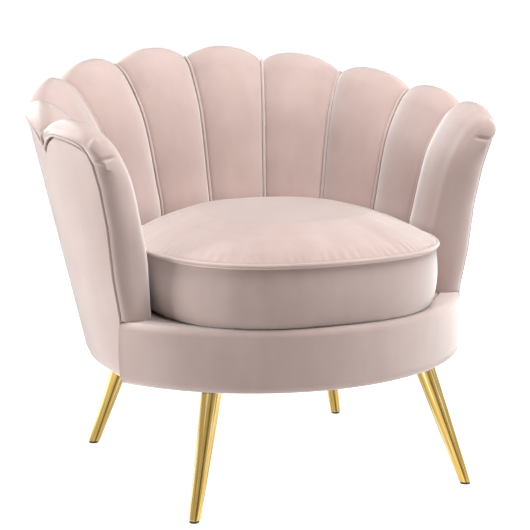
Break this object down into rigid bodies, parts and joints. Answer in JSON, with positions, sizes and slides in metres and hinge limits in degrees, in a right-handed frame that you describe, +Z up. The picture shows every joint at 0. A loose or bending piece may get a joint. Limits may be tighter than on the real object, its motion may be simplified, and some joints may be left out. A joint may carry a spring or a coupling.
{
  "type": "upholstered tub armchair",
  "caption": "Tub armchair with a scalloped, channelled velvet back that rolls over its top edge, a loose round-fronted seat cushion and splayed tapered brass legs.",
  "frame": {"origin": "centre of the chair's footprint box, on the floor", "axes": "+Z up, the chair's front faces -Y, +X is the right side as seen from the front"},
  "size_m": [0.8608, 0.7612, 0.7515],
  "materials": {
    "velvet": "blush pink velvet with a soft sheen",
    "piping": "blush pink velvet piping",
    "brass": "polished brass-coloured steel tube",
    "timber": "planed pine",
    "plywood": "sanded plywood",
    "board": "bent hardboard",
    "webbing": "woven elastic webbing",
    "deck_cloth": "lining cloth over wadding",
    "dust_cloth": "black unwoven cloth",
    "steel": "zinc plated",
    "plastic": "black moulded plastic",
    "zip": "blush nylon zip tape"
  },
  "bodies": {
    "tub": {"petal_left_1": "velvet", "petal_left_2": "velvet", "petal_left_3": "velvet", "petal_left_4": "velvet", "petal_left_5": "velvet", "petal_right_1": "velvet", "petal_right_2": "velvet", "petal_right_3": "velvet", "petal_right_4": "velvet", "petal_right_5": "velvet", "outer_cover_back": "velvet", "outer_cover_right": "velvet", "outer_cover_left": "velvet", "outer_piping": "piping", "rear_rail": "timber", "front_rail": "timber", "right_rail": "timber", "left_rail": "timber", "corner_block_rear_right": "timber", "corner_block_rear_left": "timber", "corner_block_front_right": "timber", "corner_block_front_left": "timber", "rib_centre": "plywood", "rib_left_1": "plywood", "rib_left_2": "plywood", "rib_left_3": "plywood", "rib_left_4": "plywood", "rib_right_1": "plywood", "rib_right_2": "plywood", "rib_right_3": "plywood", "rib_right_4": "plywood", "arm_post_right": "timber", "arm_post_left": "timber", "top_rail_back": "plywood", "top_rail_right": "plywood", "top_rail_left": "plywood", "inner_liner": "board", "front_band": "velvet", "seat_webbing": "webbing", "deck_pad": "deck_cloth", "dust_cover": "dust_cloth", "leg_rear_right": "brass", "glide_rear_right": "plastic", "leg_plate_rear_right": "steel", "leg_rear_left": "brass", "glide_rear_left": "plastic", "leg_plate_rear_left": "steel", "leg_front_right": "brass", "glide_front_right": "plastic", "leg_plate_front_right": "steel", "leg_front_left": "brass", "glide_front_left": "plastic", "leg_plate_front_left": "steel"},
    "cushion": {"seat_cushion": "velvet", "cushion_piping": "piping", "cushion_zip": "zip"}
  },
  "joints": [
    {"name": "cushion_lift", "type": "slide", "parent": "tub", "child": "cushion", "axis": [0, 0, 1], "range_m": [0, 0.25]}
  ]
}
